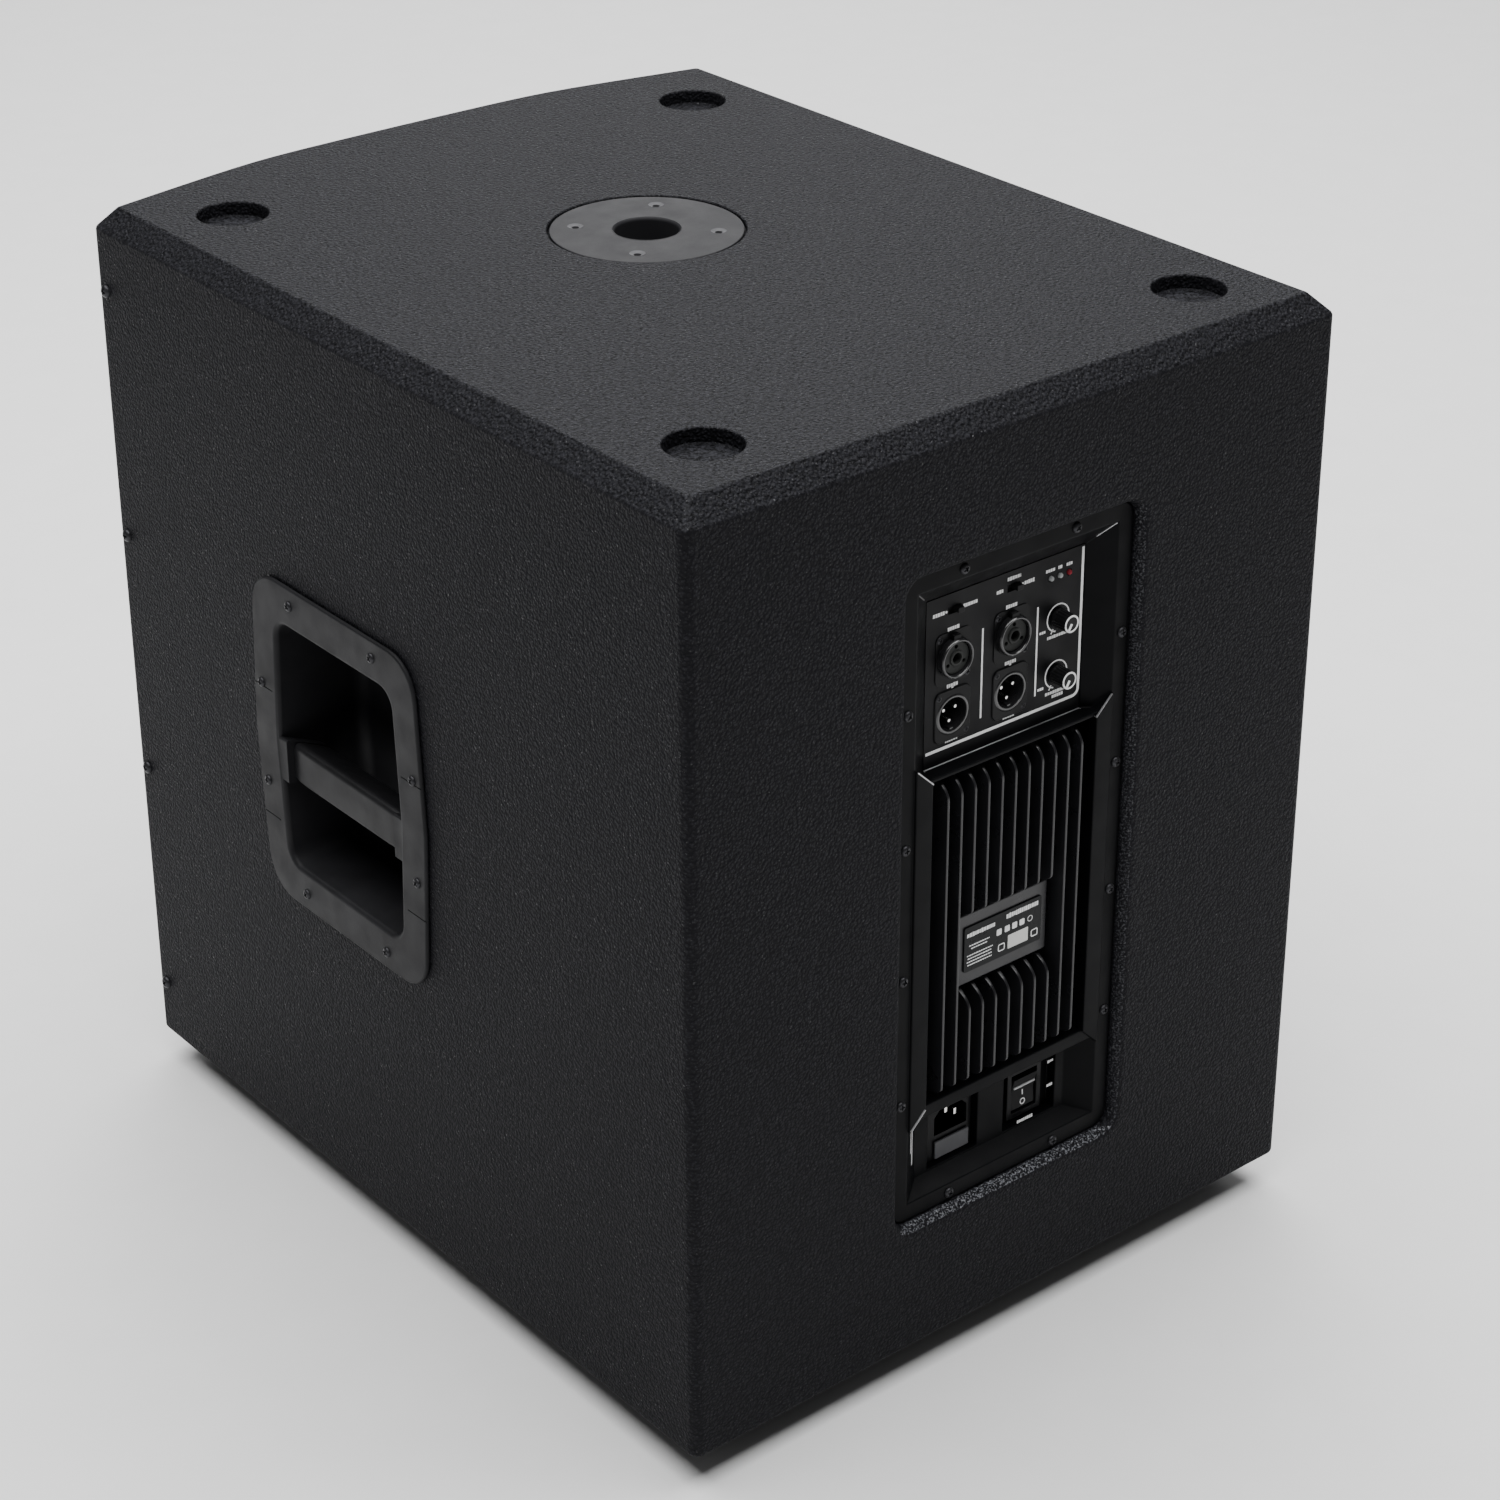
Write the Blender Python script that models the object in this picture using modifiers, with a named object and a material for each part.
"""A powered 15-inch subwoofer cabinet for stage use: a bevelled plywood box with a bowed steel
grille, a handle in each side, a pole-mount plate and foot recesses in the top, rubber feet, a
loudspeaker on an inner baffle, and a recessed amplifier with its controls, heatsink and mains inlet
in the rear.

Metres, +Z up. The rubber feet stand on Z = 0, the grille faces -Y and the amplifier faces +Y.
"""

import math

import bmesh
import bpy
from mathutils import Matrix, Vector

# Cabinet
CABINET_WIDTH = 0.450
CABINET_DEPTH = 0.578
CABINET_HEIGHT = 0.567
FOOT_HEIGHT = 0.012
BOARD = 0.018
CHAMFER = 0.012
CORNER_RADIUS = 0.006
GAP = 0.0003

HALF_WIDTH = CABINET_WIDTH / 2
REAR_Y = CABINET_DEPTH / 2
FRONT_Y = -CABINET_DEPTH / 2
BOTTOM_Z = FOOT_HEIGHT
TOP_Z = BOTTOM_Z + CABINET_HEIGHT
INNER_BOTTOM = BOTTOM_Z + BOARD
INNER_TOP = TOP_Z - BOARD
INNER_X = HALF_WIDTH - BOARD

# The front is flat in the middle and falls back towards both sides.
FLANK_START = 0.105
FLANK_SLOPE = 0.209
FLANK_BLEND = 0.030
FRONT_STEPS = 16

# Grille, foam and baffle
GRILLE_SHEET = 0.0015
GRILLE_INSET = 0.003
GRILLE_RETURN_Y = -0.242
FOAM = 0.004
GRILLE_SCREW_Y = -0.254
GRILLE_SCREW_HEIGHTS = (0.060, 0.216, 0.374, 0.530)
BAFFLE_Y = -0.236
PORT_SHELF_Z = 0.096
PORT_SHELF_THICKNESS = 0.015
PORT_SHELF_BACK = 0.110
BRACE_Y = 0.050
BRACE_THICKNESS = 0.015

# Feet and their stacking recesses
FOOT_RADIUS = 0.019
FOOT_X = 0.168
FOOT_YS = (-0.202, 0.232)
RECESS_RADIUS = 0.0205
RECESS_DEPTH = 0.009

# Pole-mount plate
POLE_Y = -0.031
POLE_PLATE_RADIUS = 0.0555
POLE_PLATE = 0.003
POLE_BORE_RADIUS = 0.0183
POLE_CUP_WALL = 0.0025
POLE_CUP_DEPTH = 0.095
POLE_SCREW = 0.029

# Handles
HANDLE_Y = -0.0265
HANDLE_Z = 0.304
HANDLE_PLATE_WIDTH = 0.173
HANDLE_PLATE_HEIGHT = 0.208
HANDLE_PLATE = 0.003
HANDLE_CORNER = 0.017
HANDLE_MOUTH_WIDTH = 0.120
HANDLE_MOUTH_HEIGHT = 0.156
HANDLE_CUP_DEPTH = 0.056
HANDLE_WALL = 0.003
GRIP_Z = 0.2938
GRIP_HEIGHT = 0.030
GRIP_DEPTH = 0.024
GRIP_LENGTH = 0.108

# Loudspeaker
DRIVER_Z = 0.334
DRIVER_FLANGE_RADIUS = 0.194
DRIVER_FLANGE = 0.006
BAFFLE_HOLE_RADIUS = 0.178
DRIVER_DEPTH = 0.150
MAGNET_RADIUS = 0.090
MAGNET_LENGTH = 0.055
COIL_RADIUS = 0.038
CONE_RADIUS = 0.150

# Amplifier module: depths are measured into the cabinet from its rear face.
AMP_Z = 0.300
AMP_OPENING_WIDTH = 0.164
AMP_OPENING_HEIGHT = 0.394
AMP_CORNER = 0.010
LIP = 0.006
FLANGE_DEPTH = 0.0066
FLANGE_THICKNESS = 0.0034
STRIP_DEPTH = 0.005
BEZEL_HALF_WIDTH = 0.071
BEZEL_HALF_HEIGHT = 0.186
BEZEL_BACK = 0.027
PANEL_DEPTH = 0.0165
PANEL_HALF_WIDTH = 0.0565
PANEL_BOTTOM = 0.076
PANEL_TOP = 0.174
PANEL_SHEET = 0.002
WINDOW_HALF_WIDTH = 0.059
WINDOW_BOTTOM = -0.126
INLET_DEPTH = 0.017
INLET_TOP = -0.134
INLET_BOTTOM = -0.180
FIN_DEPTH = 0.0045
FIN_BASE_DEPTH = 0.026
FIN_BACK_DEPTH = 0.033
FIN_COUNT = 11
FIN_PITCH = 0.0097
FIN_THICKNESS = 0.0022
LABEL_DEPTH = 0.012
LABEL_Z = -0.042
LABEL_BOSS = (0.067, 0.044)
LABEL_SIZE = (0.057, 0.028)
CONNECTOR_XS = (0.037, -0.004)
COMBO_Z = 0.1370
XLR_Z = 0.1035
KNOB_X = -0.038
KNOB_ZS = (0.1360, 0.1025)
POINTER_TURN = math.radians(150)
SLIDER_XS = (0.0365, -0.005)
SLIDER_Z = 0.164
SLIDER_TRAVEL = 0.002
LIGHT_XS = (-0.032, -0.0385, -0.045)
LIGHT_Z = 0.1605
MAINS_X = 0.026
MAINS_SOCKET_Z = -0.1545
DRAWER_Z = -0.1715
ROCKER_X = -0.030
ROCKER_Z = -0.161
ROCKER_TILT = 6.0

ROUND = 24
SMALL_ROUND = 12


# ---------------------------------------------------------------- scene, materials, solids


def clear_scene():
    for obj in list(bpy.data.objects):
        bpy.data.objects.remove(obj, do_unlink=True)


def new_collection(name, hidden=False):
    group = bpy.data.collections.new(name)
    group.hide_render = hidden
    bpy.context.scene.collection.children.link(group)
    return group


def new_material(name, colour, roughness, metallic=0.0):
    made = bpy.data.materials.new(name)
    made.use_nodes = True
    shader = made.node_tree.nodes["Principled BSDF"]
    shader.inputs["Base Color"].default_value = (*colour, 1.0)
    shader.inputs["Roughness"].default_value = roughness
    shader.inputs["Metallic"].default_value = metallic
    return made


def object_from(bm, name, group, location=(0, 0, 0)):
    """Closes a bmesh into an object of the group, its normals facing out."""
    bmesh.ops.recalc_face_normals(bm, faces=bm.faces)
    mesh = bpy.data.meshes.new(name)
    bm.to_mesh(mesh)
    bm.free()
    obj = bpy.data.objects.new(name, mesh)
    obj.location = location
    group.objects.link(obj)
    return obj


def smooth(obj, angle=35.0):
    obj.data.shade_smooth()
    obj.data.set_sharp_from_angle(angle=math.radians(angle))
    return obj


def part(obj, name, finish):
    """Turns a made solid into a named part of the cabinet with its own finish."""
    for owner in list(obj.users_collection):
        owner.objects.unlink(obj)
    CABINET.objects.link(obj)
    obj.name = name
    obj.data.name = name
    obj.data.materials.clear()
    obj.data.materials.append(finish)
    return smooth(obj)


def box(low, high, location=(0, 0, 0), name="block"):
    """A box between two corners, given from its object's own origin."""
    low, high = Vector(low), Vector(high)
    bm = bmesh.new()
    bmesh.ops.create_cube(bm, size=1.0)
    size = high - low
    bmesh.ops.scale(bm, vec=size, verts=bm.verts)
    bmesh.ops.translate(bm, vec=(low + high) / 2, verts=bm.verts)
    return object_from(bm, name, CUTTERS, location)


def block(x, y, z, name="block"):
    """A box from three (low, high) ranges in world coordinates."""
    return box((x[0], y[0], z[0]), (x[1], y[1], z[1]), name=name)


AXES = {
    "X": Matrix.Rotation(math.pi / 2, 4, "Y"),
    "Y": Matrix.Rotation(-math.pi / 2, 4, "X"),
    "Z": Matrix.Identity(4),
}


def cylinder(radius, start, length, axis, steps=ROUND, top_radius=None, location=(0, 0, 0)):
    """A cylinder or cone from a start point along +axis."""
    bm = bmesh.new()
    bmesh.ops.create_cone(
        bm,
        cap_ends=True,
        segments=steps,
        radius1=radius,
        radius2=radius if top_radius is None else top_radius,
        depth=length,
    )
    bmesh.ops.translate(bm, vec=(0, 0, length / 2), verts=bm.verts)
    bmesh.ops.transform(bm, matrix=Matrix.Translation(start) @ AXES[axis], verts=bm.verts)
    return object_from(bm, "round", CUTTERS, location)


def to_mesh_object(source, name):
    """Replaces a curve or a modified object by the plain mesh it evaluates to."""
    graph = bpy.context.evaluated_depsgraph_get()
    mesh = bpy.data.meshes.new_from_object(source.evaluated_get(graph))
    bm = bmesh.new()
    bm.from_mesh(mesh)
    bmesh.ops.remove_doubles(bm, verts=bm.verts, dist=0.00001)
    bpy.data.meshes.remove(mesh)
    matrix = source.matrix_world.copy()
    bpy.data.objects.remove(source, do_unlink=True)
    made = object_from(bm, name, CUTTERS)
    made.matrix_world = matrix
    return made


def merge_flat_faces(obj):
    bm = bmesh.new()
    bm.from_mesh(obj.data)
    bmesh.ops.dissolve_limit(bm, angle_limit=math.radians(0.5), verts=bm.verts, edges=bm.edges)
    bm.to_mesh(obj.data)
    bm.free()


# A flat outline is drawn in its own X and Y and stood up in one of the world's planes.
PLANES = {
    "XY": Matrix.Identity(4),
    "XZ": Matrix(((1, 0, 0, 0), (0, 0, -1, 0), (0, 1, 0, 0), (0, 0, 0, 1))),
    "YZ": Matrix(((0, 0, 1, 0), (1, 0, 0, 0), (0, 1, 0, 0), (0, 0, 0, 1))),
}


def slab(points, plane, low, high, location=(0, 0, 0)):
    """Extrudes a flat outline in the given plane from low to high along its normal."""
    curve = bpy.data.curves.new("outline", "CURVE")
    curve.dimensions = "2D"
    curve.fill_mode = "BOTH"
    curve.extrude = (high - low) / 2
    spline = curve.splines.new("POLY")
    spline.points.add(len(points) - 1)
    for point, (across, up) in zip(spline.points, points):
        point.co = (across, up, 0, 1)
    spline.use_cyclic_u = True
    drawn = bpy.data.objects.new("outline", curve)
    CUTTERS.objects.link(drawn)
    made = to_mesh_object(drawn, "slab")
    merge_flat_faces(made)
    made.data.transform(PLANES[plane])
    normal = {"XY": Vector((0, 0, 1)), "XZ": Vector((0, 1, 0)), "YZ": Vector((1, 0, 0))}[plane]
    made.data.transform(Matrix.Translation(normal * (low + high) / 2))
    made.location = location
    return made


def turned(profile, axis, location, steps=ROUND):
    """Turns a profile of (radius, height) points about an axis through the location.

    A profile that starts and ends on the axis stays open there, and any other closes into a ring.
    """
    bm = bmesh.new()
    verts = [bm.verts.new((radius, 0, height)) for radius, height in profile]
    if profile[0][0] > 0 or profile[-1][0] > 0:
        verts.append(verts[0])
    for first, second in zip(verts, verts[1:]):
        bm.edges.new((first, second))
    mesh = bpy.data.meshes.new("profile")
    bm.to_mesh(mesh)
    bm.free()
    drawn = bpy.data.objects.new("profile", mesh)
    CUTTERS.objects.link(drawn)
    screw = drawn.modifiers.new("Turn", "SCREW")
    screw.axis = "Z"
    screw.steps = steps
    screw.render_steps = steps
    screw.use_merge_vertices = True
    screw.merge_threshold = 0.00001
    made = to_mesh_object(drawn, "turned")
    made.data.transform(AXES[axis])
    made.location = location
    return made


def rounded_rectangle(width, height, radius, centre=(0, 0), steps=4):
    points = []
    for quarter, (sx, sy) in enumerate(((1, 1), (-1, 1), (-1, -1), (1, -1))):
        corner = (centre[0] + sx * (width / 2 - radius), centre[1] + sy * (height / 2 - radius))
        for step in range(steps + 1):
            angle = math.pi / 2 * (quarter + step / steps)
            points.append((corner[0] + radius * math.cos(angle), corner[1] + radius * math.sin(angle)))
    return points


def bevel(obj, chosen, width, segments=1):
    """Bevels the edges for which chosen(edge) is true."""
    bm = bmesh.new()
    bm.from_mesh(obj.data)
    edges = [edge for edge in bm.edges if chosen(edge)]
    bmesh.ops.bevel(
        bm, geom=edges, offset=width, segments=segments, affect="EDGES", profile=0.5, clamp_overlap=True
    )
    bm.to_mesh(obj.data)
    bm.free()
    return obj


def along(edge, axis):
    direction = edge.verts[1].co - edge.verts[0].co
    return abs(direction["XYZ".index(axis)]) > 0.99 * direction.length


def boolean(obj, other, operation):
    """Keeps the other object as a hidden helper of a Boolean on this one."""
    other.hide_render = True
    other.display_type = "WIRE"
    modifier = obj.modifiers.new(operation.title(), "BOOLEAN")
    modifier.object = other
    modifier.operation = operation
    modifier.solver = "EXACT"
    return obj


def cut(obj, *others):
    for other in others:
        boolean(obj, other, "DIFFERENCE")
    return obj


def add(obj, *others):
    for other in others:
        boolean(obj, other, "UNION")
    return obj


def together(objects):
    """One helper from several that stand apart."""
    bm = bmesh.new()
    for obj in objects:
        copy = obj.data.copy()
        copy.transform(Matrix.Translation(obj.location))
        bm.from_mesh(copy)
        bpy.data.meshes.remove(copy)
        bpy.data.objects.remove(obj, do_unlink=True)
    return object_from(bm, "group", CUTTERS)


def behind(depth):
    """The world Y of a depth into the cabinet from its rear face."""
    return REAR_Y - depth


# ---------------------------------------------------------------- cabinet


def front_y(x, inset=0.0):
    """Where the bowed front lies at this X, moved back by the inset."""

    def fall(distance):
        beyond = distance - FLANK_START
        return FLANK_SLOPE * (beyond + math.hypot(beyond, FLANK_BLEND)) / 2

    return FRONT_Y + inset + fall(abs(x)) - fall(0.0)


def front_points(half_width, inset):
    """Points along the bowed front from -X to +X."""
    xs = [half_width * (2 * step / FRONT_STEPS - 1) for step in range(FRONT_STEPS + 1)]
    return [(x, front_y(x, inset)) for x in xs]


def end_panel(low, high, rim):
    """A full-footprint board with the bevel round its outer rim."""
    outline = front_points(HALF_WIDTH, 0.0) + [(HALF_WIDTH, REAR_Y), (-HALF_WIDTH, REAR_Y)]
    board = slab(outline, "XY", low, high)

    def on_rim(edge):
        return all(abs(vert.co.z - rim) < 1e-6 for vert in edge.verts)

    def at_rear_corner(edge):
        outer = [abs(vert.co.x) > HALF_WIDTH - CHAMFER - 1e-5 and vert.co.y > 0 for vert in edge.verts]
        return all(outer) and abs(edge.verts[0].co.z - edge.verts[1].co.z) > 1e-4

    bevel(board, on_rim, CHAMFER)
    return bevel(board, at_rear_corner, CORNER_RADIUS, 3)


def make_top_panel(paint):
    board = end_panel(INNER_TOP, TOP_Z, TOP_Z)
    recesses = [
        cylinder(RECESS_RADIUS, (side * FOOT_X, y, TOP_Z - RECESS_DEPTH), 0.02, "Z")
        for side in (-1, 1)
        for y in FOOT_YS
    ]
    plate_seat = cylinder(
        POLE_PLATE_RADIUS + 0.0015, (0, POLE_Y, TOP_Z - POLE_PLATE - GAP), 0.01, "Z"
    )
    cup_hole = cylinder(
        POLE_BORE_RADIUS + POLE_CUP_WALL + 0.001, (0, POLE_Y, INNER_TOP - 0.01), 0.04, "Z"
    )
    cut(board, together(recesses), plate_seat, cup_hole)
    cut(board, together(pole_screw_shafts(0.0021, TOP_Z - 0.0165)))
    return part(board, "top_panel", paint)


def make_bottom_panel(paint):
    return part(end_panel(BOTTOM_Z, INNER_BOTTOM, BOTTOM_Z), "bottom_panel", paint)


def make_side_panel(side, name, paint):
    """A side board; its handle hole and the grille's screw holes go right through."""
    low, high = sorted((side * INNER_X, side * HALF_WIDTH))
    front = front_y(HALF_WIDTH) + 0.0005
    board = block((low, high), (front, REAR_Y), (INNER_BOTTOM + GAP, INNER_TOP - GAP))

    def outer_upright(edge):
        return along(edge, "Z") and all(abs(abs(vert.co.x) - HALF_WIDTH) < 1e-6 for vert in edge.verts)

    bevel(board, outer_upright, CORNER_RADIUS, 3)
    hole = box(
        (-0.03, -HANDLE_MOUTH_WIDTH / 2 - 0.008, -HANDLE_MOUTH_HEIGHT / 2 - 0.008),
        (0.03, HANDLE_MOUTH_WIDTH / 2 + 0.008, HANDLE_MOUTH_HEIGHT / 2 + 0.008),
        (side * HALF_WIDTH, HANDLE_Y, HANDLE_Z),
    )
    screws = [
        cylinder(0.0024, (side * HALF_WIDTH - 0.03, GRILLE_SCREW_Y, z), 0.06, "X", SMALL_ROUND)
        for z in GRILLE_SCREW_HEIGHTS
    ]
    cut(board, hole, together(screws))
    return part(board, name, paint)


def make_rear_panel(paint):
    """The rear board, with a stepped opening that the amplifier's flange sits in."""
    board = block(
        (-INNER_X + GAP, INNER_X - GAP), (REAR_Y - BOARD, REAR_Y), (INNER_BOTTOM + GAP, INNER_TOP - GAP)
    )
    rebate = slab(
        rounded_rectangle(AMP_OPENING_WIDTH, AMP_OPENING_HEIGHT, AMP_CORNER),
        "XZ",
        behind(FLANGE_DEPTH + FLANGE_THICKNESS + GAP),
        REAR_Y + 0.01,
        (0, 0, AMP_Z),
    )
    near = (AMP_OPENING_WIDTH + LIP) / 2 + 0.001, (AMP_OPENING_HEIGHT + LIP) / 2 + 0.001
    far = AMP_OPENING_WIDTH / 2, AMP_OPENING_HEIGHT / 2
    lip = flared_pocket((near[0], -near[1], near[1]), (far[0], -far[1], far[1]), (-0.001, LIP / 2))
    inner = (AMP_OPENING_WIDTH / 2 - 0.0095, AMP_OPENING_HEIGHT / 2 - 0.0095)
    through = box((-inner[0], -0.03, -inner[1]), (inner[0], 0.03, inner[1]), (0, REAR_Y, AMP_Z))
    cut(board, rebate, lip, through)
    return part(board, "rear_panel", paint)


def make_baffle(wood):
    board = block(
        (-INNER_X + GAP, INNER_X - GAP),
        (BAFFLE_Y, BAFFLE_Y + BOARD),
        (PORT_SHELF_Z + PORT_SHELF_THICKNESS + GAP, INNER_TOP - GAP),
    )
    cut(board, cylinder(BAFFLE_HOLE_RADIUS, (0, BAFFLE_Y - 0.01, DRIVER_Z), 0.04, "Y"))
    return part(board, "front_baffle", wood)


def make_port_shelf(wood):
    shelf = block(
        (-INNER_X + GAP, INNER_X - GAP),
        (BAFFLE_Y, PORT_SHELF_BACK),
        (PORT_SHELF_Z, PORT_SHELF_Z + PORT_SHELF_THICKNESS),
    )
    return part(shelf, "port_shelf", wood)


def make_brace(wood):
    """A board across the inside with four windows that let the air through."""
    low = PORT_SHELF_Z + PORT_SHELF_THICKNESS + GAP
    board = block(
        (-INNER_X + GAP, INNER_X - GAP), (BRACE_Y, BRACE_Y + BRACE_THICKNESS), (low, INNER_TOP - GAP)
    )
    middle = (low + INNER_TOP) / 2
    windows = [
        box((-0.075, -0.02, -0.090), (0.075, 0.04, 0.090), (side * 0.102, BRACE_Y, middle + rise))
        for side in (-1, 1)
        for rise in (-0.114, 0.114)
    ]
    cut(board, together(windows))
    return part(board, "inner_brace", wood)


# ---------------------------------------------------------------- grille and feet


def bowed_sheet(half_width, inset, back, thickness, low, high):
    """A thin sheet that follows the bowed front and turns back along both sides."""
    outer = [(-half_width, back)] + front_points(half_width, inset) + [(half_width, back)]
    inner = [(half_width - thickness, back)]
    inner += list(reversed(front_points(half_width - thickness, inset + thickness)))
    inner += [(-half_width + thickness, back)]
    return slab(outer + inner, "XY", low, high)


def make_grille(steel):
    sheet = bowed_sheet(
        INNER_X - 0.0008,
        GRILLE_INSET,
        GRILLE_RETURN_Y,
        GRILLE_SHEET,
        INNER_BOTTOM + 0.0008,
        INNER_TOP - 0.0008,
    )
    holes = [
        cylinder(0.0022, (side * INNER_X - 0.01, GRILLE_SCREW_Y, z), 0.02, "X", SMALL_ROUND)
        for side in (-1, 1)
        for z in GRILLE_SCREW_HEIGHTS
    ]
    cut(sheet, together(holes))
    return part(sheet, "front_grille", steel)


def make_grille_foam(foam):
    inset = GRILLE_INSET + GRILLE_SHEET + 0.0005
    points = front_points(INNER_X - 0.008, inset)
    points += list(reversed(front_points(INNER_X - 0.008, inset + FOAM)))
    return part(slab(points, "XY", INNER_BOTTOM + 0.004, INNER_TOP - 0.004), "grille_foam", foam)


def make_grille_screws(side, name, steel):
    """The pan-head screws through one side board into the grille's folded edge."""
    for number, z in enumerate(GRILLE_SCREW_HEIGHTS, 1):
        head_low = GAP
        profile = [
            (0, 0.0025),
            (0.0025, 0.0025),
            (0.0042, 0.0012),
            (0.0042, head_low),
            (0.0019, head_low),
            (0.0019, -0.0225),
            (0, -0.0225),
        ]
        screw = turned(profile, "X", (side * HALF_WIDTH, GRILLE_SCREW_Y, z), SMALL_ROUND)
        if side < 0:
            screw.data.transform(Matrix.Rotation(math.pi, 4, "Z"))
        part(screw, f"grille_screw_{name}_{number}", steel)


def make_foot(x, y, name, rubber):
    """A tapered rubber foot, hollow in the middle for its fixing screw."""
    profile = [
        (FOOT_RADIUS, -GAP),
        (FOOT_RADIUS, -0.003),
        (FOOT_RADIUS - 0.0025, -FOOT_HEIGHT + 0.0015),
        (FOOT_RADIUS - 0.0040, -FOOT_HEIGHT),
        (0.0075, -FOOT_HEIGHT),
        (0.0075, -0.0050),
        (0.0024, -0.0050),
        (0.0024, -GAP),
    ]
    return part(turned(profile, "Z", (x, y, BOTTOM_Z), SMALL_ROUND), name, rubber)


# ---------------------------------------------------------------- pole-mount plate


def pole_screw_places():
    return [(sx * POLE_SCREW, POLE_Y + sy * POLE_SCREW) for sx in (-1, 1) for sy in (-1, 1)]


def pole_screw_shafts(radius, low):
    return [
        cylinder(radius, (x, y, low), TOP_Z - low + 0.002, "Z", SMALL_ROUND)
        for x, y in pole_screw_places()
    ]


def make_pole_plate(metal):
    """A round flush plate with a raised lip and the cup for a loudspeaker pole."""
    outer = POLE_BORE_RADIUS + POLE_CUP_WALL
    profile = [
        (0, -POLE_CUP_DEPTH + POLE_CUP_WALL),
        (POLE_BORE_RADIUS, -POLE_CUP_DEPTH + POLE_CUP_WALL),
        (POLE_BORE_RADIUS, 0.0008),
        (POLE_BORE_RADIUS + 0.003, 0.0008),
        (POLE_BORE_RADIUS + 0.004, -0.0002),
        (POLE_PLATE_RADIUS - 0.0006, -0.0002),
        (POLE_PLATE_RADIUS, -0.0008),
        (POLE_PLATE_RADIUS, -POLE_PLATE),
        (outer, -POLE_PLATE),
        (outer, -POLE_CUP_DEPTH),
        (0, -POLE_CUP_DEPTH),
    ]
    plate = turned(profile, "Z", (0, POLE_Y, TOP_Z), 28)
    cut(plate, together(pole_screw_shafts(0.0021, TOP_Z - 0.01)))
    sinks = [
        cylinder(0.0020, (x, y, TOP_Z - 0.0027), 0.0031, "Z", SMALL_ROUND, top_radius=0.0048)
        for x, y in pole_screw_places()
    ]
    cut(plate, together(sinks))
    return part(plate, "pole_mount_plate", metal)


def make_pole_screws(steel):
    """Countersunk socket screws, their heads flush with the plate."""
    for number, (x, y) in enumerate(pole_screw_places(), 1):
        profile = [(0, -0.0004), (0.0038, -0.0004), (0.0018, -0.0026), (0.0018, -0.0155), (0, -0.0155)]
        screw = turned(profile, "Z", (x, y, TOP_Z), SMALL_ROUND)
        cut(screw, cylinder(0.0013, (x, y, TOP_Z - 0.0022), 0.003, "Z", 6))
        part(screw, f"pole_plate_screw_{number}", steel)


# ---------------------------------------------------------------- handles


def handle_outline():
    """The handle's flange: a rounded rectangle, a little wider at the middle than at its ends."""
    points = rounded_rectangle(HANDLE_PLATE_WIDTH, HANDLE_PLATE_HEIGHT, HANDLE_CORNER)
    half = HANDLE_PLATE_HEIGHT / 2
    waist = 0.006
    points.insert(len(points) // 2, (-HANDLE_PLATE_WIDTH / 2, 0))
    points.append((HANDLE_PLATE_WIDTH / 2, 0))
    return [
        (across - math.copysign(waist * (abs(up) / half) ** 2, across), up) for across, up in points
    ]


def make_handle(side, name, plastic):
    """A moulded recess: a flange on the side board, a deep cup and the two stubs of the grip."""
    place = (side * HALF_WIDTH, HANDLE_Y, HANDLE_Z)
    low, high = sorted((side * GAP, side * HANDLE_PLATE))
    flange = slab(handle_outline(), "YZ", low, high, place)
    half_y, half_z = HANDLE_MOUTH_WIDTH / 2, HANDLE_MOUTH_HEIGHT / 2
    wall_y, wall_z = half_y + HANDLE_WALL, half_z + HANDLE_WALL
    bottom = -side * HANDLE_CUP_DEPTH
    low, high = sorted((side * 0.002, bottom))
    shell = box((low, -wall_y, -wall_z), (high, wall_y, wall_z), place)
    low, high = sorted((side * 0.01, bottom + side * HANDLE_WALL))
    hollow = box((low, -half_y, -half_z), (high, half_y, half_z), place)
    bevel(hollow, lambda edge: along(edge, "X"), 0.014, 3)
    add(flange, shell)
    cut(flange, hollow)
    rise = GRIP_Z - HANDLE_Z
    stub_low, stub_high = sorted((-side * 0.001, -side * (0.001 + GRIP_DEPTH)))
    inner = GRIP_LENGTH / 2 + GAP
    for end in (-1, 1):
        stub_y = sorted((end * inner, end * (half_y + 0.001)))
        stub = box(
            (stub_low, stub_y[0], rise - GRIP_HEIGHT / 2),
            (stub_high, stub_y[1], rise + GRIP_HEIGHT / 2),
            place,
        )
        add(flange, stub)
    return part(flange, f"handle_recess_{name}", plastic)


def make_grip(side, name, plastic):
    """The bar that the fingers close round, held between the recess's stubs."""
    middle = side * (HALF_WIDTH - 0.001 - GRIP_DEPTH / 2)
    half_depth = GRIP_DEPTH / 2
    half_length = GRIP_LENGTH / 2
    grip = box(
        (-half_depth, -half_length, -GRIP_HEIGHT / 2),
        (half_depth, half_length, GRIP_HEIGHT / 2),
        (middle, HANDLE_Y, GRIP_Z),
    )
    bevel(grip, lambda edge: along(edge, "Y"), 0.007, 3)
    return part(grip, f"handle_grip_{name}", plastic)


# ---------------------------------------------------------------- loudspeaker


def driver_ring(points, steps=ROUND):
    """Turns (radius, distance back from the baffle's front) points about the driver's axis."""
    return turned([(radius, back) for radius, back in points], "Y", (0, BAFFLE_Y, DRIVER_Z), steps)


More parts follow.
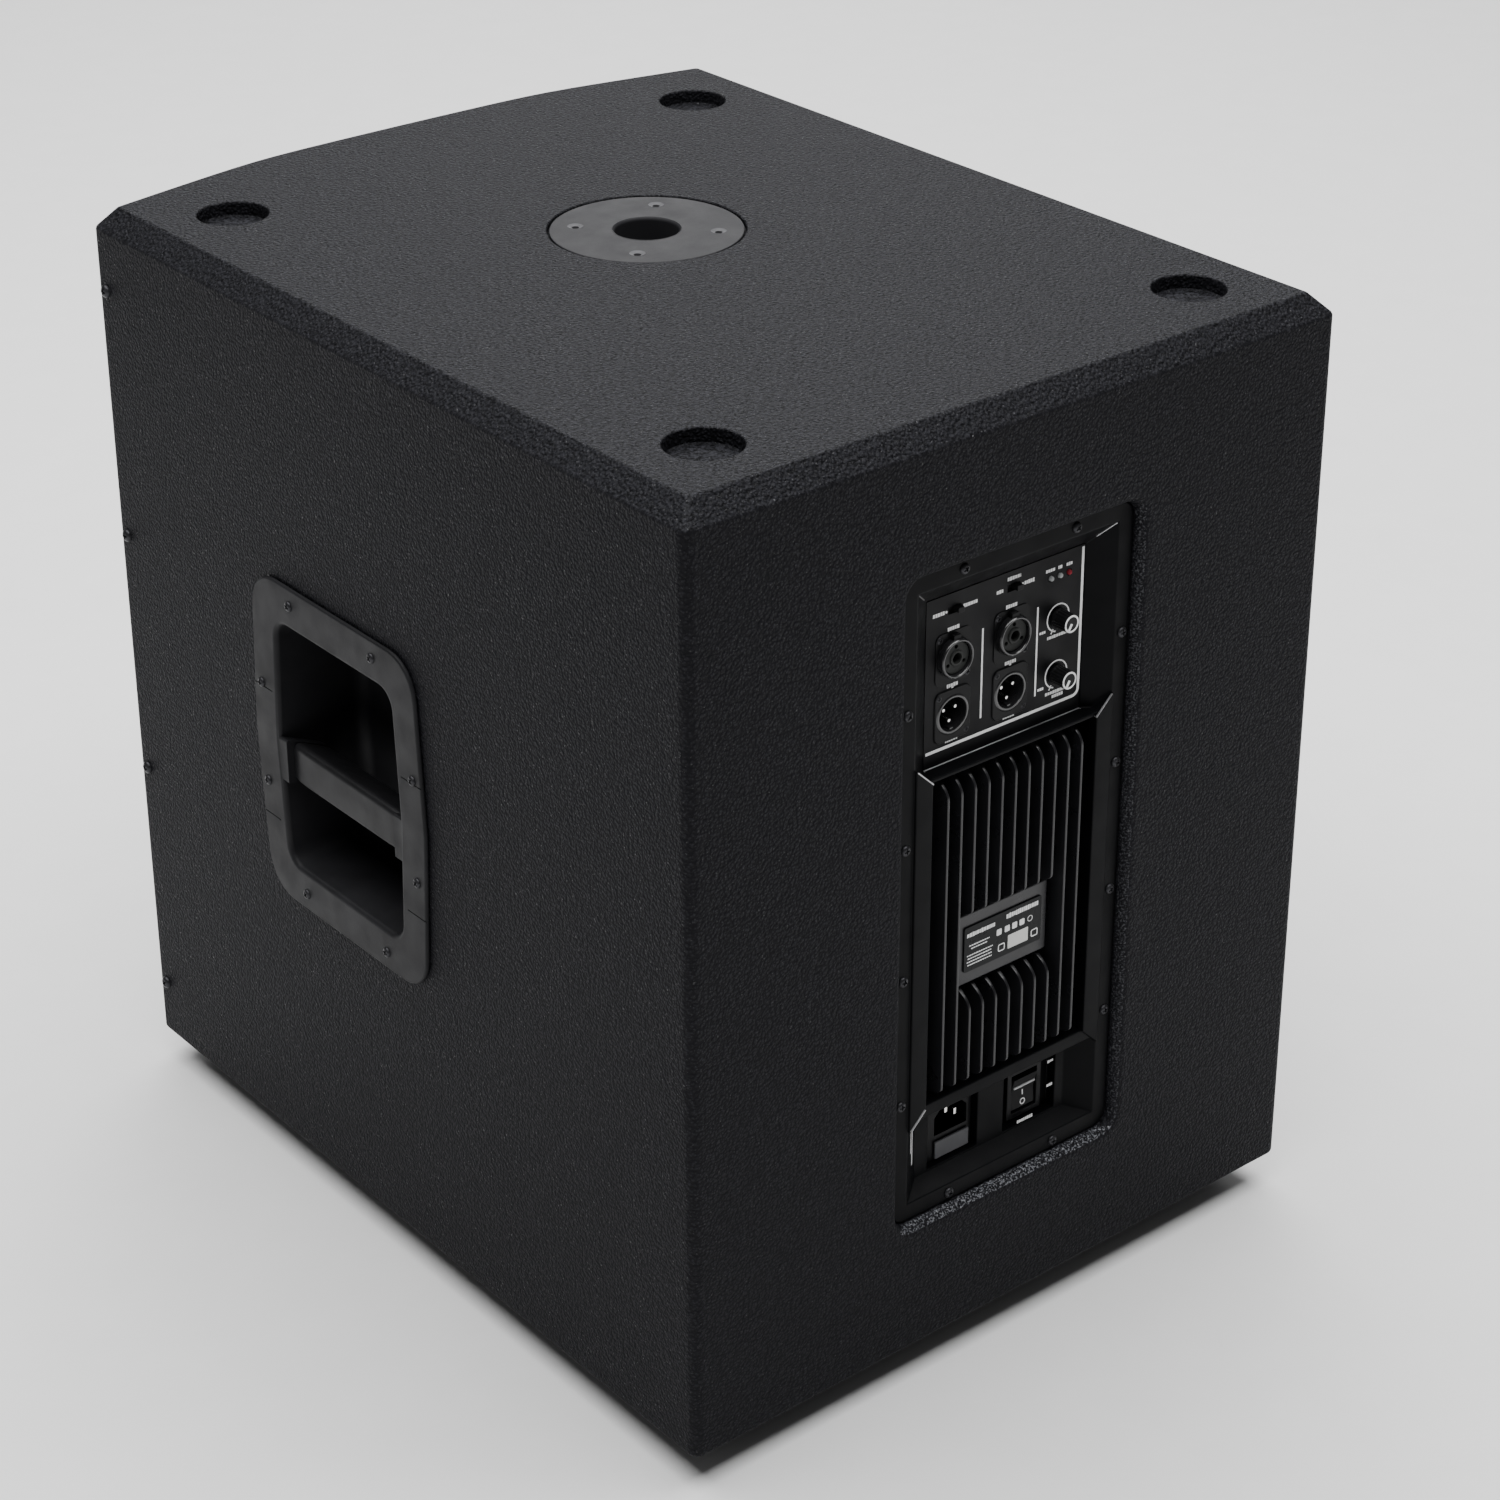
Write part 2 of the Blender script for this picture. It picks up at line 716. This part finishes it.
def make_basket(metal):
    """The cast basket: a front flange, a conical frame with windows and a rear ring."""
    back = DRIVER_DEPTH - MAGNET_LENGTH
    basket = driver_ring(
        [
            (0.164, -DRIVER_FLANGE),
            (0.164, 0.004),
            (0.148, 0.030),
            (0.082, back - 0.006),
            (0.050, back - 0.006),
            (0.050, back - GAP),
            (0.086, back - GAP),
            (0.155, 0.034),
            (0.1765, 0.014),
            (0.1765, -GAP),
            (DRIVER_FLANGE_RADIUS, -GAP),
            (DRIVER_FLANGE_RADIUS, -DRIVER_FLANGE),
        ]
    )
    windows = []
    for number in range(4):
        turn = Matrix.Rotation(math.radians(45 + 90 * number), 4, "Y")
        window = box((-0.036, 0.036, 0.060), (0.036, 0.080, 0.200))
        window.data.transform(turn)
        window.location = (0, BAFFLE_Y, DRIVER_Z)
        windows.append(window)
    cut(basket, together(windows))
    return part(basket, "driver_basket", metal)


def make_magnet(metal):
    """The magnet between its two steel plates, with the gap that the coil moves in."""
    front = DRIVER_DEPTH - MAGNET_LENGTH
    magnet = driver_ring(
        [
            (0, front + 0.004),
            (COIL_RADIUS - 0.003, front + 0.004),
            (COIL_RADIUS - 0.003, front + 0.040),
            (COIL_RADIUS + 0.004, front + 0.040),
            (COIL_RADIUS + 0.004, front),
            (MAGNET_RADIUS - 0.006, front),
            (MAGNET_RADIUS - 0.006, front + 0.008),
            (MAGNET_RADIUS, front + 0.010),
            (MAGNET_RADIUS, front + 0.042),
            (MAGNET_RADIUS - 0.006, front + 0.044),
            (MAGNET_RADIUS - 0.006, DRIVER_DEPTH),
            (0, DRIVER_DEPTH),
        ]
    )
    return part(magnet, "driver_magnet", metal)


def make_cone(paper):
    cone = driver_ring(
        [
            (CONE_RADIUS, -0.001),
            (CONE_RADIUS, 0.001),
            (COIL_RADIUS + 0.0025, 0.066),
            (COIL_RADIUS + 0.0005, 0.066),
            (COIL_RADIUS + 0.0005, 0.062),
            (CONE_RADIUS - 0.004, -0.001),
        ]
    )
    return part(cone, "driver_cone", paper)


def make_dust_cap(paper):
    """A shallow dome over the middle of the cone."""
    rim = 0.058
    rise = 0.016
    seat = 0.046
    shell = 0.0012

    def arc(radius, height):
        angles = [step * math.pi / 8 for step in range(4)]
        points = [(radius * math.cos(angle), seat - height * math.sin(angle)) for angle in angles]
        return points + [(0.0, seat - height)]

    profile = list(reversed(arc(rim - shell, rise - shell))) + arc(rim, rise)
    return part(turned(profile, "Y", (0, BAFFLE_Y, DRIVER_Z)), "driver_dust_cap", paper)


def make_surround(rubber):
    """The half-round rubber edge between the basket and the cone."""
    inner, outer = CONE_RADIUS + 0.0008, 0.1636
    middle, radius = (inner + outer) / 2, (outer - inner) / 2
    turns = [step * math.pi / 4 for step in range(5)]
    upper = [
        (middle + radius * math.cos(turn), -0.001 - 0.8 * radius * math.sin(turn))
        for turn in turns
    ]
    thin = radius - 0.001
    lower = [
        (middle + thin * math.cos(step * math.pi / 4), 0.0005 - 0.8 * thin * math.sin(step * math.pi / 4))
        for step in range(4, -1, -1)
    ]
    return part(driver_ring(upper + lower), "driver_surround", rubber)


def make_voice_coil(metal):
    coil = driver_ring(
        [
            (COIL_RADIUS, 0.0665),
            (COIL_RADIUS, DRIVER_DEPTH - MAGNET_LENGTH + 0.024),
            (COIL_RADIUS - 0.0012, DRIVER_DEPTH - MAGNET_LENGTH + 0.024),
            (COIL_RADIUS - 0.0012, 0.0665),
        ]
    )
    return part(coil, "voice_coil", metal)


def make_spider(cloth):
    """The corrugated centring ring between the coil and the basket."""
    inner, outer = COIL_RADIUS + 0.0008, 0.079
    waves = 2
    steps = 4 * waves
    top = []
    for step in range(steps + 1):
        radius = inner + (outer - inner) * step / steps
        top.append((radius, 0.078 + 0.0015 * math.sin(2 * math.pi * waves * step / steps)))
    bottom = [(radius, back + 0.0012) for radius, back in reversed(top)]
    return part(driver_ring(top + bottom), "driver_spider", cloth)


# ---------------------------------------------------------------- amplifier


def amp_block(x, depths, z):
    """A box in the amplifier: X range, depth range from the rear face, height range from its middle."""
    return block(x, (behind(depths[1]), behind(depths[0])), (AMP_Z + z[0], AMP_Z + z[1]))


def centred_block(middle, size, depths):
    """A box of the amplifier round a middle (x, z), with its (width, height) and depth range."""
    x, z = middle
    half_width, half_height = size[0] / 2, size[1] / 2
    return amp_block((x - half_width, x + half_width), depths, (z - half_height, z + half_height))


def flared_pocket(near, far, depths):
    """A pocket with sloping walls; near and far are its (x, low, high) at the two depths."""
    bm = bmesh.new()
    bmesh.ops.create_cube(bm, size=1.0)
    for vert in bm.verts:
        half, low, high = near if vert.co.y > 0 else far
        depth = depths[0] if vert.co.y > 0 else depths[1]
        up = high if vert.co.z > 0 else low
        vert.co = (math.copysign(half, vert.co.x), behind(depth), AMP_Z + up)
    return object_from(bm, "pocket", CUTTERS)


def make_bezel(metal):
    """The cast frame of the amplifier: flange, raised side strips, and pockets for the panels."""
    outer = rounded_rectangle(AMP_OPENING_WIDTH - 0.0014, AMP_OPENING_HEIGHT - 0.0014, AMP_CORNER - 0.001)
    bezel = slab(
        outer, "XZ", behind(FLANGE_DEPTH + FLANGE_THICKNESS), behind(FLANGE_DEPTH), (0, 0, AMP_Z)
    )
    body = amp_block(
        (-BEZEL_HALF_WIDTH, BEZEL_HALF_WIDTH),
        (FLANGE_DEPTH + 0.001, BEZEL_BACK),
        (-BEZEL_HALF_HEIGHT, BEZEL_HALF_HEIGHT),
    )
    add(bezel, body)
    slope = (BEZEL_HALF_WIDTH - PANEL_HALF_WIDTH) / (PANEL_DEPTH - FLANGE_DEPTH)
    rise = (BEZEL_HALF_HEIGHT - PANEL_TOP) / (PANEL_DEPTH - FLANGE_DEPTH)
    over = 0.002
    upper = flared_pocket(
        (BEZEL_HALF_WIDTH + slope * over, PANEL_BOTTOM, BEZEL_HALF_HEIGHT + rise * over),
        (PANEL_HALF_WIDTH, PANEL_BOTTOM, PANEL_TOP),
        (FLANGE_DEPTH - over, PANEL_DEPTH),
    )
    seat = amp_block(
        (-PANEL_HALF_WIDTH, PANEL_HALF_WIDTH),
        (PANEL_DEPTH - 0.001, PANEL_DEPTH + PANEL_SHEET + GAP),
        (PANEL_BOTTOM, PANEL_TOP),
    )
    control_window = amp_block((-0.0525, 0.0525), (0.0, 0.05), (PANEL_BOTTOM + 0.004, PANEL_TOP - 0.004))
    fin_window = amp_block(
        (-WINDOW_HALF_WIDTH, WINDOW_HALF_WIDTH), (0.0, 0.05), (WINDOW_BOTTOM, PANEL_BOTTOM - 0.0025)
    )
    slope = (BEZEL_HALF_WIDTH - PANEL_HALF_WIDTH) / (INLET_DEPTH - FLANGE_DEPTH)
    lower = flared_pocket(
        (BEZEL_HALF_WIDTH + slope * over, -BEZEL_HALF_HEIGHT - 0.0006, INLET_TOP),
        (PANEL_HALF_WIDTH, INLET_BOTTOM, INLET_TOP),
        (FLANGE_DEPTH - over, INLET_DEPTH),
    )
    cut(bezel, upper, seat, control_window, fin_window, lower)
    add_side_strips(bezel)
    socket_bay = amp_block((0.0095, 0.0465), (0.010, 0.0235), (-0.1785, -0.1395))
    socket_hole = amp_block((0.0115, 0.0405), (0.010, 0.05), (-0.1785 + 0.0008, -0.1425))
    switch_bay = amp_block((-0.0500, -0.0105), (0.010, 0.0235), (-0.1785, -0.1395))
    switch_hole = amp_block(
        (ROCKER_X - 0.0113, ROCKER_X + 0.0113), (0.010, 0.05), (ROCKER_Z - 0.0143, ROCKER_Z + 0.0143)
    )
    cut(bezel, socket_bay, socket_hole, switch_bay, switch_hole)
    return part(bezel, "amp_bezel", metal)


def add_side_strips(bezel):
    """A raised strip beside the heatsink on both sides, cut off at a slant at both ends."""
    inner, outer = WINDOW_HALF_WIDTH, BEZEL_HALF_WIDTH
    slant = outer - inner
    for side in (-1, 1):
        points = [
            (side * inner, WINDOW_BOTTOM),
            (side * inner, PANEL_BOTTOM - 0.0025),
            (side * outer, PANEL_BOTTOM - 0.0025 + slant),
            (side * outer, WINDOW_BOTTOM - slant),
        ]
        if side < 0:
            points.reverse()
        strip = slab(points, "XZ", behind(BEZEL_BACK - 0.001), behind(STRIP_DEPTH), (0, 0, AMP_Z))
        add(bezel, strip)


def make_control_panel(paint):
    """The printed sheet that holds the sockets, knobs, switches and lights."""
    sheet = amp_block(
        (-PANEL_HALF_WIDTH + GAP, PANEL_HALF_WIDTH - GAP),
        (PANEL_DEPTH, PANEL_DEPTH + PANEL_SHEET),
        (PANEL_BOTTOM + GAP, PANEL_TOP - GAP),
    )
    holes = [
        cylinder(0.0118, (x, behind(0.03), AMP_Z + z), 0.03, "Y", 24)
        for x in CONNECTOR_XS
        for z in (COMBO_Z, XLR_Z)
    ]
    holes += [
        cylinder(0.0040, (KNOB_X, behind(0.03), AMP_Z + z), 0.03, "Y", SMALL_ROUND) for z in KNOB_ZS
    ]
    holes += [
        cylinder(0.0019, (x, behind(0.03), AMP_Z + LIGHT_Z), 0.03, "Y", 12) for x in LIGHT_XS
    ]
    holes += [
        amp_block((x - 0.0045, x + 0.0045), (0.0, 0.03), (SLIDER_Z - 0.0020, SLIDER_Z + 0.0020))
        for x in SLIDER_XS
    ]
    cut(sheet, together(holes))
    return part(sheet, "control_panel", paint)


def make_combo_socket(x, name, plastic):
    """A combined XLR and jack input, its face standing proud of the panel."""
    face = PANEL_DEPTH - 0.0045
    place = (x, behind(0), AMP_Z + COMBO_Z)
    body = turned(
        [
            (0.0040, -face - 0.002),
            (0.0088, -face - 0.002),
            (0.0096, -face),
            (0.0112, -face),
            (0.0114, -face - 0.001),
            (0.0114, -0.046),
            (0.0040, -0.046),
        ],
        "Y",
        place,
        24,
    )
    slots = []
    for angle in (90, 210, 330):
        across = 0.0064 * math.cos(math.radians(angle))
        up = 0.0064 * math.sin(math.radians(angle))
        slots.append(
            cylinder(0.0013, (place[0] + across, behind(0.030), place[2] + up), 0.03, "Y", 8)
        )
    cut(body, together(slots))
    return part(body, f"combo_socket_{name}", plastic)


def make_xlr_plug(x, name, plastic):
    """A male XLR output: a cup that stands in the panel, with three pins on its floor."""
    face = PANEL_DEPTH - 0.0012
    place = (x, behind(0), AMP_Z + XLR_Z)
    floor = face + 0.013
    cup = turned(
        [
            (0.0092, -face),
            (0.0112, -face),
            (0.0114, -face - 0.001),
            (0.0114, -0.046),
            (0.0, -0.046),
            (0.0, -floor),
            (0.0092, -floor),
        ],
        "Y",
        place,
        24,
    )
    for angle in (90, 210, 330):
        across = 0.0048 * math.cos(math.radians(angle))
        up = 0.0048 * math.sin(math.radians(angle))
        pin = cylinder(
            0.0012, (place[0] + across, behind(floor + 0.002), place[2] + up), 0.0125, "Y", 8
        )
        add(cup, pin)
    return part(cup, f"xlr_output_{name}", plastic)


def make_knob(z, name, plastic):
    """A small round knob with a skirt and a pointer slot, turned down to 7 o'clock."""
    start = PANEL_DEPTH - 0.0005
    tip = PANEL_DEPTH - 0.0105
    profile = [
        (0, -tip),
        (0.0044, -tip),
        (0.0052, -tip - 0.0008),
        (0.0058, -start),
        (0.0032, -start),
        (0.0032, -tip - 0.0060),
        (0, -tip - 0.0060),
    ]
    knob = turned(profile, "Y", (KNOB_X, behind(0), AMP_Z + z), 24)
    slot = box((-0.0005, -0.0006, 0.0008), (0.0005, 0.02, 0.0070))
    slot.data.transform(Matrix.Rotation(POINTER_TURN, 4, "Y"))
    slot.location = (KNOB_X, behind(tip), AMP_Z + z)
    cut(knob, slot)
    return part(knob, f"level_knob_{name}", plastic)


def make_slider(x, name, plastic):
    """The small sliding button of a two-way switch, with a finger groove."""
    button = box(
        (-0.0021, -0.0015, -0.0015),
        (0.0021, 0.0040, 0.0015),
        (x - SLIDER_TRAVEL, behind(PANEL_DEPTH + 0.001), AMP_Z + SLIDER_Z),
    )
    foot = box(
        (-0.0040, -0.0040, -0.0028),
        (0.0040, -0.0013, 0.0028),
        (x - SLIDER_TRAVEL, behind(PANEL_DEPTH + 0.001), AMP_Z + SLIDER_Z),
    )
    add(button, foot)
    return part(button, f"mode_slider_{name}", plastic)


def make_indicator_lights(plastic):
    """One clear moulding behind the panel with a small dome for each light."""
    bar = amp_block(
        (LIGHT_XS[-1] - 0.003, LIGHT_XS[0] + 0.003),
        (PANEL_DEPTH + PANEL_SHEET + GAP, PANEL_DEPTH + PANEL_SHEET + 0.003),
        (LIGHT_Z - 0.0024, LIGHT_Z + 0.0024),
    )
    for x in LIGHT_XS:
        stem = cylinder(
            0.0015,
            (x, behind(PANEL_DEPTH + PANEL_SHEET + 0.002), AMP_Z + LIGHT_Z),
            0.0044,
            "Y",
            12,
            top_radius=0.0013,
        )
        add(bar, stem)
    return part(bar, "indicator_lights", plastic)


def make_heatsink(metal):
    """A comb of fins, its ends rounded off, with a level boss in the middle for the label."""
    half = WINDOW_HALF_WIDTH - 0.0006
    points = [(-half, -FIN_BACK_DEPTH), (half, -FIN_BACK_DEPTH), (half, -FIN_BASE_DEPTH)]
    for number in range(FIN_COUNT):
        middle = FIN_PITCH * ((FIN_COUNT - 1) / 2 - number)
        root, tip = FIN_THICKNESS / 2, FIN_THICKNESS / 2 - 0.0003
        points += [
            (middle + root, -FIN_BASE_DEPTH),
            (middle + tip, -FIN_DEPTH),
            (middle - tip, -FIN_DEPTH),
            (middle - root, -FIN_BASE_DEPTH),
        ]
    points.append((-half, -FIN_BASE_DEPTH))
    low = AMP_Z + WINDOW_BOTTOM + 0.0006
    high = AMP_Z + PANEL_BOTTOM - 0.0031
    comb = slab(points, "XY", low, high, (0, REAR_Y, 0))
    width = 0.07
    cut(comb, fin_end_cutter(high, 1, 0.013, width))
    cut(comb, fin_end_cutter(low, -1, 0.007, width))
    boss_low = AMP_Z + LABEL_Z - LABEL_BOSS[1] / 2
    boss_high = AMP_Z + LABEL_Z + LABEL_BOSS[1] / 2
    gap_width = LABEL_BOSS[0] / 2 + 0.0003
    clear = block(
        (-gap_width, gap_width),
        (behind(LABEL_DEPTH + 0.001), behind(0)),
        (boss_low - 0.001, boss_high + 0.001),
    )
    cut(comb, clear)
    cut(comb, fin_end_cutter(boss_low, 1, 0.013, gap_width))
    cut(comb, fin_end_cutter(boss_high, -1, 0.007, gap_width))
    boss = block(
        (-gap_width + 0.0003, gap_width - 0.0003),
        (behind(FIN_BASE_DEPTH + 0.002), behind(LABEL_DEPTH)),
        (boss_low, boss_high),
    )
    add(comb, boss)
    return part(comb, "heatsink", metal)


def fin_end_cutter(z, way, reach, half_width):
    """Rounds the fins off towards a level: way 1 cuts the ends below it, way -1 those above."""
    steps = 4
    tall = FIN_BASE_DEPTH - 0.004 - FIN_DEPTH
    curve = []
    for step in range(steps + 1):
        angle = math.pi / 2 * step / steps
        depth = FIN_DEPTH - 0.001 + (tall + 0.001) * (1 - math.cos(angle))
        curve.append((behind(depth), z - way * reach * (1 - math.sin(angle))))
    outer = [(behind(FIN_DEPTH + tall), z + way * 0.0015), (behind(0), z + way * 0.0015)]
    outer.append((behind(0), z - way * reach))
    points = curve + outer
    return slab(points, "YZ", -half_width, half_width)


def make_label_plate(metal):
    """The plate stuck on the heatsink's boss."""
    half_width, half_height = LABEL_SIZE[0] / 2, LABEL_SIZE[1] / 2
    plate = amp_block(
        (-half_width, half_width),
        (LABEL_DEPTH - 0.0010, LABEL_DEPTH - GAP),
        (LABEL_Z - half_height, LABEL_Z + half_height),
    )
    return part(plate, "rating_plate", metal)


def make_mains_inlet(plastic):
    """The three-pin mains inlet, with the bay of its fuse drawer below the socket."""
    face = 0.0212
    body = amp_block((0.0105, 0.0455), (face, 0.0232), (-0.1780, -0.1400))
    barrel = amp_block((0.0125, 0.0395), (0.0225, 0.046), (-0.1770, -0.1435))
    add(body, barrel)
    low, high = MAINS_SOCKET_Z - 0.0080, MAINS_SOCKET_Z + 0.0080
    corner = 0.0045
    points = [
        (MAINS_X - 0.0120, low),
        (MAINS_X + 0.0120, low),
        (MAINS_X + 0.0120, high - corner),
        (MAINS_X + 0.0120 - corner, high),
        (MAINS_X - 0.0120 + corner, high),
        (MAINS_X - 0.0120, high - corner),
    ]
    socket = slab(points, "XZ", behind(0.040), behind(0.010), (0, 0, AMP_Z))
    bay = centred_block((MAINS_X, DRAWER_Z), (0.0230, 0.0090), (0.0100, 0.0420))
    cut(body, socket, bay)
    for across, up in ((-0.007, -0.0015), (0.0, 0.0025), (0.007, -0.0015)):
        pin = amp_block(
            (MAINS_X + across - 0.001, MAINS_X + across + 0.001),
            (0.0255, 0.041),
            (MAINS_SOCKET_Z + up - 0.002, MAINS_SOCKET_Z + up + 0.002),
        )
        add(body, pin)
    return part(body, "mains_inlet", plastic)


def make_fuse_drawer(plastic):
    """The drawer that carries the fuse, with a lip to pull it out by."""
    front = centred_block((MAINS_X, DRAWER_Z), (0.0250, 0.0110), (0.0195, 0.0212 - GAP))
    tray = centred_block((MAINS_X, DRAWER_Z), (0.0216, 0.0076), (0.0205, 0.0390))
    add(front, tray)
    fuse_bed = centred_block((MAINS_X, DRAWER_Z + 0.0040), (0.0170, 0.0120), (0.0240, 0.0360))
    cut(front, fuse_bed)
    return part(front, "fuse_drawer", plastic)


def make_switch_housing(plastic):
    """The frame that the power rocker turns in."""
    frame = centred_block((ROCKER_X, ROCKER_Z), (0.0260, 0.0320), (0.0210, 0.0232))
    body = centred_block((ROCKER_X, ROCKER_Z), (0.0216, 0.0276), (0.0225, 0.0440))
    add(frame, body)
    well = centred_block((ROCKER_X, ROCKER_Z), (0.0190, 0.0250), (0.0100, 0.0380))
    cut(frame, well)
    return part(frame, "power_switch_housing", plastic)


def make_rocker(plastic):
    """The rocker: a shallow V in side view, turning about a pin across its middle."""
    half_height = 0.0110
    tip = 0.0044
    dip = 0.0026
    points = [
        (-0.0060, -0.0050),
        (-0.0060, 0.0050),
        (tip - 0.0055, half_height),
        (tip, half_height),
        (dip, 0.0),
        (tip, -half_height),
        (tip - 0.0055, -half_height),
    ]
    rocker = slab(points, "YZ", -0.0090, 0.0090)
    rocker.data.transform(Matrix.Rotation(math.radians(-ROCKER_TILT), 4, "X"))
    rocker.location = (ROCKER_X, behind(0.0250), AMP_Z + ROCKER_Z)
    return part(rocker, "power_rocker", plastic)


def make_control_board(board_green):
    """The board behind the control panel with the controls' bodies and shafts on it."""
    back = 0.0460
    onto_board = back + 0.001
    board = amp_block(
        (-0.055, 0.050), (back + GAP, back + 0.002), (PANEL_BOTTOM + 0.004, PANEL_TOP - 0.002)
    )
    shaft_length = 0.031 - PANEL_DEPTH + 0.0035
    pieces = []
    for z in KNOB_ZS:
        across = (KNOB_X - 0.0065, KNOB_X + 0.0065)
        pieces.append(amp_block(across, (0.030, onto_board), (z - 0.0065, z + 0.0065)))
        shaft_end = (KNOB_X, behind(0.031), AMP_Z + z)
        pieces.append(cylinder(0.0028, shaft_end, shaft_length, "Y", SMALL_ROUND))
    for x in SLIDER_XS:
        heights = (SLIDER_Z - 0.003, SLIDER_Z + 0.003)
        pieces.append(amp_block((x - 0.006, x + 0.006), (0.024, onto_board), heights))
    for piece in pieces:
        add(board, piece)
    return part(board, "control_board", board_green)


def make_amplifier_board(board_green):
    """The power board that stands behind the heatsink, with its capacitors and a coil."""
    board = amp_block((-0.060, 0.060), (0.048, 0.050), (-0.120, 0.066))
    for x, z in ((-0.035, 0.030), (-0.035, -0.010), (-0.035, -0.050), (0.0, 0.045)):
        can = cylinder(0.0125, (x, behind(0.085), AMP_Z + z), 0.036, "Y", 20)
        add(board, can)
    pad = amp_block((0.012, 0.050), (0.0336, 0.049), (-0.100, -0.088))
    add(board, pad)
    return part(board, "amplifier_board", board_green)


def make_transformer(copper):
    """A ring-core mains transformer."""
    ring = turned(
        [
            (0.014, 0.018),
            (0.017, 0.022),
            (0.035, 0.022),
            (0.039, 0.018),
            (0.039, -0.018),
            (0.035, -0.022),
            (0.017, -0.022),
            (0.014, -0.018),
        ],
        "Y",
        (0.022, behind(0.082), AMP_Z - 0.012),
        SMALL_ROUND,
    )
    return part(ring, "mains_transformer", copper)


def make_amp_cover(metal):
    """The folded steel tub that closes the amplifier inside the cabinet."""
    half_width, half_height = 0.0685, 0.1835
    front, back, sheet = BEZEL_BACK + GAP, 0.112, 0.0015
    tub = amp_block((-half_width, half_width), (front, back), (-half_height, half_height))
    hollow = amp_block(
        (-half_width + sheet, half_width - sheet),
        (0.0, back - sheet),
        (-half_height + sheet, half_height - sheet),
    )
    cut(tub, hollow)
    return part(tub, "amp_cover", metal)


# ---------------------------------------------------------------- the whole cabinet

clear_scene()
CABINET = new_collection("powered_subwoofer")
CUTTERS = new_collection("cutters", hidden=True)


def build():
    paint = new_material("textured_black_paint", (0.020, 0.020, 0.022), 0.62)
    wood = new_material("bare_plywood", (0.42, 0.29, 0.17), 0.75)
    grille_steel = new_material("powder_coated_steel", (0.018, 0.018, 0.020), 0.50, 0.3)
    foam = new_material("open_cell_foam", (0.010, 0.010, 0.011), 0.95)
    screw_steel = new_material("black_zinc_steel", (0.05, 0.05, 0.055), 0.35, 0.9)
    rubber = new_material("black_rubber", (0.014, 0.014, 0.014), 0.85)
    plate_metal = new_material("grey_coated_steel", (0.10, 0.10, 0.105), 0.45, 0.4)
    plastic = new_material("moulded_black_plastic", (0.022, 0.022, 0.024), 0.45)
    cast_metal = new_material("black_cast_aluminium", (0.030, 0.030, 0.034), 0.45, 0.5)
    paper = new_material("doped_paper", (0.030, 0.029, 0.028), 0.8)
    cloth = new_material("resin_cloth", (0.45, 0.30, 0.12), 0.85)
    copper = new_material("enamelled_copper", (0.55, 0.24, 0.11), 0.4, 0.8)
    board_green = new_material("circuit_board", (0.02, 0.13, 0.06), 0.5)
    label = new_material("pale_label", (0.75, 0.76, 0.77), 0.4)
    clear = new_material("clear_plastic", (0.80, 0.82, 0.84), 0.15)
    zinc = new_material("zinc_steel", (0.45, 0.45, 0.46), 0.4, 0.9)

    make_top_panel(paint)
    make_bottom_panel(paint)
    make_rear_panel(paint)
    for side, name in ((-1, "left"), (1, "right")):
        make_side_panel(side, f"side_panel_{name}", paint)
        make_grille_screws(side, name, screw_steel)
        make_handle(side, name, plastic)
        make_grip(side, name, plastic)
    make_baffle(wood)
    make_port_shelf(wood)
    make_brace(wood)
    make_grille(grille_steel)
    make_grille_foam(foam)
    for y, end in zip(FOOT_YS, ("front", "rear")):
        for side, name in ((-1, "left"), (1, "right")):
            make_foot(side * FOOT_X, y, f"foot_{end}_{name}", rubber)
    make_pole_plate(plate_metal)
    make_pole_screws(screw_steel)

    make_basket(cast_metal)
    make_magnet(zinc)
    make_cone(paper)
    make_dust_cap(paper)
    make_surround(rubber)
    make_voice_coil(copper)
    make_spider(cloth)

    make_bezel(cast_metal)
    make_control_panel(cast_metal)
    for x, name in zip(CONNECTOR_XS, ("a", "b")):
        make_combo_socket(x, name, plastic)
        make_xlr_plug(x, name, plastic)
    for z, name in zip(KNOB_ZS, ("upper", "lower")):
        make_knob(z, name, plastic)
    for x, name in zip(SLIDER_XS, ("a", "b")):
        make_slider(x, name, plastic)
    make_indicator_lights(clear)
    make_heatsink(cast_metal)
    make_label_plate(label)
    make_mains_inlet(plastic)
    make_fuse_drawer(plastic)
    make_switch_housing(plastic)
    make_rocker(plastic)
    make_control_board(board_green)
    make_amplifier_board(board_green)
    make_transformer(copper)
    make_amp_cover(zinc)


build()
